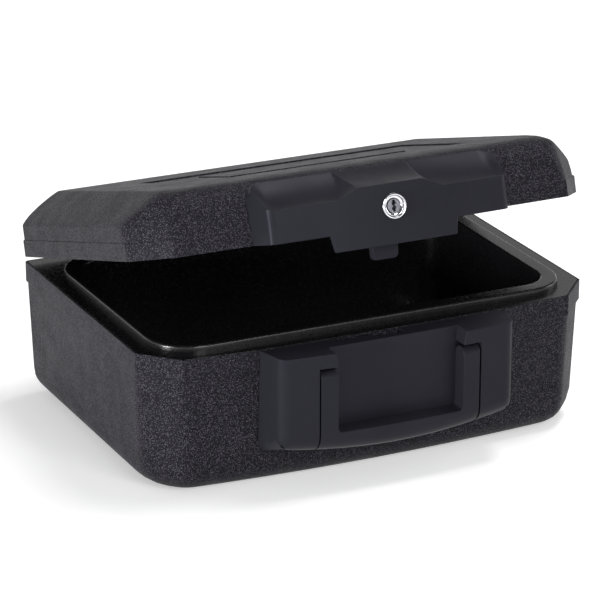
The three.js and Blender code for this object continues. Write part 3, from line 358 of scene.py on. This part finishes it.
def cast_mineral(name, pale, darker, rough):
    """Pale cast fill with sand specks and pores."""
    material = shader_material(name, Roughness=rough)
    n = FinishNodes(material)
    specks = n.noise(SAND_SPECKS, detail=4.0, roughness=0.8)
    pores, _ = n.cells(PORES)
    n.dress(
        Base_Color=n.mixed(n.spread(specks, over=(0.35, 0.7)), pale, darker),
        Normal=n.bump(n.plus(specks, pores, PORE_SHARE), FILL_RELIEF, strength=0.6),
    )
    return material


TUB_GRAIN = pebbled_plastic("tub_grain", pebble=0.76 * MM, depth=0.25 * MM)
LID_GRAIN = pebbled_plastic("lid_grain", pebble=0.74 * MM, depth=0.18 * MM)
SATIN_TRIM = satin_plastic(
    "satin_trim", base=(0.0160, 0.0160, 0.0210), paler=(0.0190, 0.0190, 0.0245), rough=0.36,
)
SMOOTH_LINER = smooth_plastic(
    "smooth_liner", base=(0.0050, 0.0050, 0.0057), paler=(0.0068, 0.0068, 0.0078), rough=0.24,
)
CHROME = plated_metal("chrome", base=(0.78, 0.78, 0.81), paler=(0.86, 0.86, 0.89), rough=0.07)
PLUG_FACE = plated_metal("plug_face", base=(0.20, 0.20, 0.23), paler=(0.32, 0.32, 0.36), rough=0.2)
ZINC_STEEL = plated_metal(
    "zinc_steel", base=(0.45, 0.45, 0.46), paler=(0.58, 0.58, 0.60), rough=0.32, marks=ZINC_MARKS,
)
# The strike plate's steel: near black as painted shade, so that the slot it is seen through looks dark
SLOT_SHADE_STEEL = plated_metal(
    "slot_shade_steel", base=(0.035, 0.035, 0.038), paler=(0.05, 0.05, 0.055), rough=0.45,
    marks=SLOT_SHADE_STEEL_MARKS,
)
MINERAL = cast_mineral("cast_mineral", pale=(0.52, 0.49, 0.43), darker=(0.37, 0.34, 0.29), rough=0.95)


def merged_copy(node):
    """The CAD node's form as one welded mesh whose flat faces are whole."""
    bm = bmesh.new()
    bm.from_mesh(frame["nodes"][node].data)
    bmesh.ops.remove_doubles(bm, verts=bm.verts, dist=MERGE_DISTANCE)
    bmesh.ops.dissolve_limit(bm, angle_limit=FLAT_ANGLE, verts=bm.verts, edges=bm.edges)
    return bm


def plain_mesh(name, bm):
    mesh = bpy.data.meshes.new(name)
    bm.to_mesh(mesh)
    bm.free()
    return mesh


def finished_mesh(name, source, *modifiers):
    """What an object made of the source becomes with its modifiers, as a plain mesh."""
    holder = bpy.data.objects.new(name, source)
    bpy.context.scene.collection.objects.link(holder)
    for fit in modifiers:
        fit(holder)
    bpy.context.view_layer.update()
    mesh = bpy.data.meshes.new_from_object(holder.evaluated_get(bpy.context.evaluated_depsgraph_get()))
    bpy.data.objects.remove(holder)
    mesh.name = name
    return mesh


def add_piece(name, mesh, material, body, slot, *nodes):
    """A finished mesh as a piece that rides on a body and stands for CAD nodes."""
    mesh.materials.clear()
    mesh.materials.append(material)
    piece = bpy.data.objects.new(name, mesh)
    bpy.context.scene.collection.objects.link(piece)
    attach(piece, body)
    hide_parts(*nodes)


def solids_in_the_way():
    """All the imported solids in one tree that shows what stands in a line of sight."""
    points, faces = [], []
    for node in frame["nodes"].values():
        start = len(points)
        points.extend(node.matrix_world @ vertex.co for vertex in node.data.vertices)
        faces.extend([start + k for k in polygon.vertices] for polygon in node.data.polygons)
    return BVHTree.FromPolygons(points, faces)


SOLIDS = solids_in_the_way()


def is_seen(edge):
    """Whether the middle of an outer edge can be seen from outside."""
    outward = (edge.link_faces[0].normal + edge.link_faces[1].normal).normalized()
    along = (edge.verts[1].co - edge.verts[0].co).normalized()
    across = outward.cross(along)
    place = (edge.verts[0].co + edge.verts[1].co) / 2 + outward * SIGHT_START
    ways = ((outward + across * a + along * b).normalized() for a, b in SIGHT_LEANS)
    return any(SOLIDS.ray_cast(place, way, SIGHT_LENGTH)[0] is None for way in ways)


def is_seam(edge):
    """Whether another piece stands close before one of the edge's two faces."""
    middle = (edge.verts[0].co + edge.verts[1].co) / 2
    ways = (face.normal for face in edge.link_faces)
    return any(SOLIDS.ray_cast(middle + way * SEAM_START, way, SEAM_REACH)[0] is not None for way in ways)


def room_across(edge, face):
    """How far the face reaches straight across from the middle of its edge."""
    start, end = (vertex.co for vertex in edge.verts)
    middle = (start + end) / 2
    along = (end - start).normalized()
    across = face.normal.cross(along)
    room = SIGHT_LENGTH
    for other in face.edges:
        first, second = (vertex.co - middle for vertex in other.verts)
        before, after = first.dot(along), second.dot(along)
        if other is not edge and before * after < 0:
            room = min(room, abs(first.lerp(second, before / (before - after)).dot(across)))
    return room


def mark_edges(bm, radius):
    """Gives the sharp outer edges that can be seen as much of the rounding as a seam and the faces
    beside them leave room for, and keeps the other sharp edges sharp."""
    weight = bm.edges.layers.float.new("bevel_weight_edge")
    for edge in bm.edges:
        if len(edge.link_faces) != 2:
            continue
        angle = edge.calc_face_angle_signed(0.0)
        if abs(angle) < EDGE_ANGLE:
            continue
        if angle > 0 and edge.calc_length() > radius and is_seen(edge):
            room = min(room_across(edge, face) for face in edge.link_faces)
            edge[weight] = min(SEAM_SHARE if is_seam(edge) else 1.0, room / (ROOM_SHARE * radius))
        else:
            edge.smooth = False
    for face in bm.faces:
        face.smooth = True


def keep_flats_flat(mesh):
    """Gives each corner the lean of the faces round it that lean much as its own face does, the
    larger a face the more."""
    around = [[] for _ in mesh.vertices]
    for face in mesh.polygons:
        for point in face.vertices:
            around[point].append(face)
    normals = []
    for face in mesh.polygons:
        for point in face.vertices:
            near = (other for other in around[point] if other.normal.dot(face.normal) > BLEND_COSINE)
            normals.append(sum((other.normal * other.area for other in near), Vector()).normalized())
    mesh.normals_split_custom_set(normals)


def moulded(node, name, material, body, slot, radius):
    """A CAD node's piece with its outer edges rounded, as it comes out of a mould."""
    bm = merged_copy(node)
    mark_edges(bm, radius)

    def round_edges(holder):
        bevel = holder.modifiers.new("edge rounding", "BEVEL")
        bevel.width = radius
        bevel.segments = ROUNDING_STEPS
        bevel.limit_method = "WEIGHT"
        bevel.use_clamp_overlap = False
        bevel.miter_outer = "MITER_ARC"

    mesh = finished_mesh(name, plain_mesh(name, bm), round_edges)
    keep_flats_flat(mesh)
    add_piece(name, mesh, material, body, slot, node)


def turned(bm, section):
    """A closed section carried round the z axis."""
    rings = []
    for radius, forward in section:
        count = TURN_STEPS if radius > 0 else 1
        angles = (2 * math.pi * k / TURN_STEPS for k in range(count))
        reach = radius * MM
        places = ((reach * math.cos(a), reach * math.sin(a), forward * MM) for a in angles)
        rings.append([bm.verts.new(place) for place in places])
    for ring, following in zip(rings, rings[1:] + rings[:1]):
        if len(ring) == 1 and len(following) == 1:
            continue
        for k in range(TURN_STEPS):
            corners = [ring[k % len(ring)], ring[(k + 1) % len(ring)]]
            corners += [following[(k + 1) % len(following)], following[k % len(following)]]
            bm.faces.new(list(dict.fromkeys(corners)))
    return bm


def plug_front():
    """The plug's round front with its keyway cut through, as deep as the key goes in."""
    outline = bpy.data.curves.new("plug_outline", "CURVE")
    outline.dimensions = "2D"
    outline.fill_mode = "BOTH"
    outline.extrude = (PLUG_FRONT - KEYWAY_FLOOR) / 2 * MM
    angles = (2 * math.pi * k / TURN_STEPS for k in range(TURN_STEPS))
    round_edge = [(PLUG_RADIUS * math.cos(a), PLUG_RADIUS * math.sin(a)) for a in angles]
    for points in (round_edge, KEYWAY):
        spline = outline.splines.new("POLY")
        spline.points.add(len(points) - 1)
        spline.use_cyclic_u = True
        for point, (x, y) in zip(spline.points, points):
            point.co = (x * MM, y * MM, 0.0, 1.0)
    bm = bmesh.new()
    bm.from_mesh(finished_mesh("plug_outline", outline))
    middle = (PLUG_FRONT + KEYWAY_FLOOR) / 2 * MM
    bmesh.ops.translate(bm, verts=bm.verts, vec=(0.0, 0.0, middle))
    bmesh.ops.remove_doubles(bm, verts=bm.verts, dist=MERGE_DISTANCE)
    return bm


def lock_piece(name, bm, material, body, slot, node):
    """A piece made on the lock's own axes, put in its place in the lid, its sharp edges kept."""
    bmesh.ops.recalc_face_normals(bm, faces=bm.faces)
    bmesh.ops.transform(bm, matrix=LOCK_PLACE, verts=bm.verts)
    for face in bm.faces:
        face.smooth = True
    for edge in bm.edges:
        if len(edge.link_faces) == 2 and edge.calc_face_angle(0.0) > EDGE_ANGLE:
            edge.smooth = False
    add_piece(name, plain_mesh(name, bm), material, body, slot, node)


def pan_screws():
    """Pan-headed screws with a cross recess, one on each point, by its outward way and length."""
    tree = bpy.data.node_groups.new("pan_screws", "GeometryNodeTree")
    sockets = tree.interface
    sockets.new_socket("Places", in_out="INPUT", socket_type="NodeSocketGeometry")
    for name, size in SCREW_SIZES.items():
        sockets.new_socket(name, in_out="INPUT", socket_type="NodeSocketFloat").default_value = size
    sockets.new_socket("Finish", in_out="INPUT", socket_type="NodeSocketMaterial")
    sockets.new_socket("Screws", in_out="OUTPUT", socket_type="NodeSocketGeometry")
    n = Nodes(tree)
    given = n.add("NodeGroupInput").outputs

    def vector(x, y, z):
        return n.add("ShaderNodeCombineXYZ", {"X": x, "Y": y, "Z": z}).outputs["Vector"]

    def point_value(name, kind):
        return n.add("GeometryNodeInputNamedAttribute", {"Name": name}, data_type=kind).outputs["Attribute"]

    # The head, with its cross recess cut by two bars
    head = n.add("GeometryNodeMeshCone", {
        "Radius Top": given["Crown radius"], "Radius Bottom": given["Head radius"],
        "Depth": given["Head height"], "Vertices": HEAD_STEPS,
    }).outputs["Mesh"]
    top = vector(0.0, 0.0, given["Head height"])
    for length, width in (("Recess length", "Recess width"), ("Recess width", "Recess length")):
        size = vector(given[length], given[width], given["Recess depth"])
        bar = n.add("GeometryNodeMeshCube", {"Size": size}).outputs["Mesh"]
        placed = n.add("GeometryNodeTransform", {"Geometry": bar, "Translation": top}).outputs["Geometry"]
        cut = n.add("GeometryNodeMeshBoolean", {"Mesh 1": head, "Mesh 2": placed}, operation="DIFFERENCE")
        head = cut.outputs["Mesh"]

    # A shank of unit length that hangs from its point
    rod = n.add("GeometryNodeMeshCylinder", {
        "Radius": given["Shank radius"], "Vertices": SHANK_STEPS, "Depth": 1.0,
    }).outputs["Mesh"]
    hung = {"Geometry": rod, "Translation": (0.0, 0.0, -0.5)}
    shank = n.add("GeometryNodeTransform", hung).outputs["Geometry"]

    # Each head is turned by chance, by up to half a turn. Random Value has an input and an output for
    # each kind of number: for plain ones, input 3 is the greatest and output 1 the result.
    upright = n.add(
        "FunctionNodeAlignRotationToVector", {"Vector": point_value("outward", "FLOAT_VECTOR")}, axis="Z",
    ).outputs["Rotation"]
    chance = n.add("FunctionNodeRandomValue", {"Seed": SCREW_SEED, 3: math.pi}, data_type="FLOAT")
    turn = n.add("FunctionNodeAxisAngleToRotation", {"Angle": chance.outputs[1]}).outputs["Rotation"]
    turned_way = n.add(
        "FunctionNodeRotateRotation", {"Rotation": upright, "Rotate By": turn}, rotation_space="LOCAL",
    ).outputs["Rotation"]
    heads = n.add("GeometryNodeInstanceOnPoints", {
        "Points": given["Places"], "Instance": head, "Rotation": turned_way,
    })
    shanks = n.add("GeometryNodeInstanceOnPoints", {
        "Points": given["Places"], "Instance": shank, "Rotation": upright,
        "Scale": vector(1.0, 1.0, point_value("length", "FLOAT")),
    })
    both = n.add("GeometryNodeJoinGeometry")
    for grown in (heads, shanks):
        tree.links.new(grown.outputs["Instances"], both.inputs["Geometry"])
    whole = n.add("GeometryNodeRealizeInstances", {"Geometry": both.outputs["Geometry"]}).outputs["Geometry"]
    finished = n.add("GeometryNodeSetMaterial", {"Geometry": whole, "Material": given["Finish"]})
    n.add("NodeGroupOutput", {"Screws": finished.outputs["Geometry"]})
    return tree


SCREW_TREE = pan_screws()


def screw_line(node, axis):
    """Where a packed screw's head seats, which way it looks out, and how long its shank is."""
    points = [node.matrix_world @ vertex.co for vertex in node.data.vertices]
    across = axis.orthogonal().normalized()
    sides = (across, axis.cross(across))
    reach = [(min(p.dot(s) for p in points), max(p.dot(s) for p in points)) for s in sides]
    middle = sum((s * (low + high) / 2 for s, (low, high) in zip(sides, reach)), Vector())
    radius = (reach[0][1] - reach[0][0]) / 2
    along = [p.dot(axis) for p in points]
    wide = [p.dot(axis) for p in points if (p - middle - axis * p.dot(axis)).length > HEAD_EDGE * radius]
    low, high = min(along), max(along)
    if sum(wide) / len(wide) < (low + high) / 2:
        return middle + axis * max(wide), -axis, high - max(wide)
    return middle + axis * min(wide), axis, min(wide) - low


def fit_screws(name, body, axis, *nodes):
    """One piece that holds screws of a body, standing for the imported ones."""
    lines = [screw_line(frame["nodes"][node], axis) for node in nodes]
    places = bpy.data.meshes.new(name)
    places.from_pydata([tuple(seat) for seat, _, _ in lines], [], [])
    ways = places.attributes.new("outward", "FLOAT_VECTOR", "POINT")
    ways.data.foreach_set("vector", [number for _, way, _ in lines for number in way])
    lengths = places.attributes.new("length", "FLOAT", "POINT")
    lengths.data.foreach_set("value", [length for _, _, length in lines])

    def put_screws(holder):
        modifier = holder.modifiers.new("screws", "NODES")
        modifier.node_group = SCREW_TREE
        sockets = {item.name: item.identifier for item in SCREW_TREE.interface.items_tree}
        modifier[sockets["Finish"]] = ZINC_STEEL

    add_piece(name, finished_mesh(name, places, put_screws), ZINC_STEEL, body, "steel", *nodes)


moulded("base_outer_shell", "tub_shell", TUB_GRAIN, "base", "grained_shell", SHELL_ROUNDING)
moulded("base_liner", "tub_liner", SMOOTH_LINER, "base", "smooth_liner", LINER_ROUNDING)
moulded("handle_housing", "housing_cover", SATIN_TRIM, "base", "satin_trim", TRIM_ROUNDING)
moulded("carry_handle", "swing_handle", SATIN_TRIM, "handle", "satin_trim", TRIM_ROUNDING)
moulded("lid_outer_shell", "lid_shell", LID_GRAIN, "lid", "grained_shell", SHELL_ROUNDING)
moulded("lid_liner", "lid_pan", SMOOTH_LINER, "lid", "smooth_liner", LINER_ROUNDING)
moulded("lock_cover", "front_cover", SATIN_TRIM, "lid", "satin_trim", TRIM_ROUNDING)
moulded("latch_slide", "latch_tongue", SATIN_TRIM, "latch", "satin_trim", TRIM_ROUNDING)

lock_piece("lock_ring", turned(bmesh.new(), RING_SECTION), CHROME, "lid", "chrome_ring", "lock_cylinder")
lock_piece(
    "key_plug_face", turned(plug_front(), PLUG_SECTION), PLUG_FACE, "key_plug", "brass_plug", "lock_plug",
)

LID_FORWARDS = AJAR.to_3x3() @ Vector((0, 1, 0))
fit_screws("cover_screws", "lid", LID_FORWARDS, *(f"cover_screw_{k}" for k in (1, 2, 3, 4)))
fit_screws("housing_screws", "base", Vector((0, 1, 0)), *(f"housing_screw_{k}" for k in (1, 2, 3, 4)))
fit_screws("strike_screws", "base", Vector((0, 0, 1)), "strike_screw_1", "strike_screw_2")

# The CAD nodes that stay get a finish by their slot, and the strike plate a near-black steel of its own,
# painted shade so that the slot it is seen through looks dark
FINISHES = {"insulation": MINERAL, "steel": ZINC_STEEL}
for row in frame["record"]["subparts"]:
    node = frame["nodes"][row["node"]]
    finish = SLOT_SHADE_STEEL if row["node"] == "strike_plate" else FINISHES.get(row["material_slot"])
    if finish and not node.hide_render:
        node.data.materials.clear()
        node.data.materials.append(finish)


def pale_floor():
    """A floor that takes the box's shadow, and shows nearly white by a glow of its own."""
    bm = bmesh.new()
    bmesh.ops.create_circle(bm, cap_ends=True, segments=FLOOR_STEPS, radius=FLOOR_RADIUS)
    mesh = plain_mesh("studio_floor", bm)
    material = bpy.data.materials.new("pale_floor")
    material.use_nodes = True
    material.node_tree.nodes.clear()
    n = Nodes(material.node_tree)
    share = n.add("ShaderNodeMath", {0: n.looked_at(), 1: FLOOR_GLOW}, operation="MULTIPLY")
    glow = n.add("ShaderNodeEmission", {"Strength": share.outputs["Value"]})
    diffuse = n.add("ShaderNodeBsdfDiffuse", {"Color": FLOOR_GREY})
    both = n.add("ShaderNodeAddShader", {0: diffuse.outputs["BSDF"], 1: glow.outputs["Emission"]})
    n.add("ShaderNodeOutputMaterial", {"Surface": both.outputs["Shader"]})
    mesh.materials.append(material)
    floor = bpy.data.objects.new("studio_floor", mesh)
    bpy.context.scene.collection.objects.link(floor)


def white_surroundings():
    """White where the camera and the reflections look, with a dimmer ceiling overhead, and a plain
    dimmer light for the rest."""
    world = bpy.data.worlds.new("studio")
    bpy.context.scene.world = world
    world.use_nodes = True
    n = Nodes(world.node_tree)
    way = n.add("ShaderNodeTexCoord").outputs["Generated"]
    upwards = n.add("ShaderNodeSeparateXYZ", {"Vector": way}).outputs["Z"]
    sky = n.spread(upwards, over=CEILING_RISE, to=(1.0, CEILING), interpolation_type="SMOOTHSTEP")
    level = n.add("ShaderNodeMix", {"Factor": n.looked_at(), "A": PLAIN_LIGHT, "B": sky}, data_type="FLOAT")
    back = world.node_tree.nodes["Background"]
    back.inputs["Color"].default_value = WHITE
    world.node_tree.links.new(level.outputs["Result"], back.inputs["Strength"])


def soft_lamp(name, place, aim, size, watts):
    lamp = bpy.data.lights.new(name, "AREA")
    lamp.shape = "RECTANGLE"
    lamp.size, lamp.size_y = size
    lamp.energy = watts
    holder = bpy.data.objects.new(name, lamp)
    holder.location = Vector(place)
    holder.rotation_euler = (Vector(aim) - Vector(place)).to_track_quat("-Z", "Y").to_euler()
    bpy.context.scene.collection.objects.link(holder)


def photograph_camera():
    flat = math.cos(VIEW_ELEVATION)
    back = Vector((
        math.sin(VIEW_AZIMUTH) * flat, -math.cos(VIEW_AZIMUTH) * flat, math.sin(VIEW_ELEVATION),
    ))
    data = bpy.data.cameras.new("camera")
    data.sensor_width = SENSOR
    data.lens = FOCAL_PIXELS * SENSOR / PICTURE_SIDE
    data.clip_end = VIEW_REACH
    camera = bpy.data.objects.new("camera", data)
    turn = (-back).to_track_quat("-Z", "Y").to_matrix() @ Matrix.Rotation(VIEW_ROLL, 3, "Z")
    camera.matrix_world = Matrix.Translation(VIEW_TARGET + back * VIEW_DISTANCE) @ turn.to_4x4()
    bpy.context.scene.collection.objects.link(camera)
    bpy.context.scene.camera = camera


pale_floor()
white_surroundings()
for lamp_row in SOFT_LAMPS:
    soft_lamp(*lamp_row)
photograph_camera()
bpy.context.scene.view_settings.view_transform = "Standard"
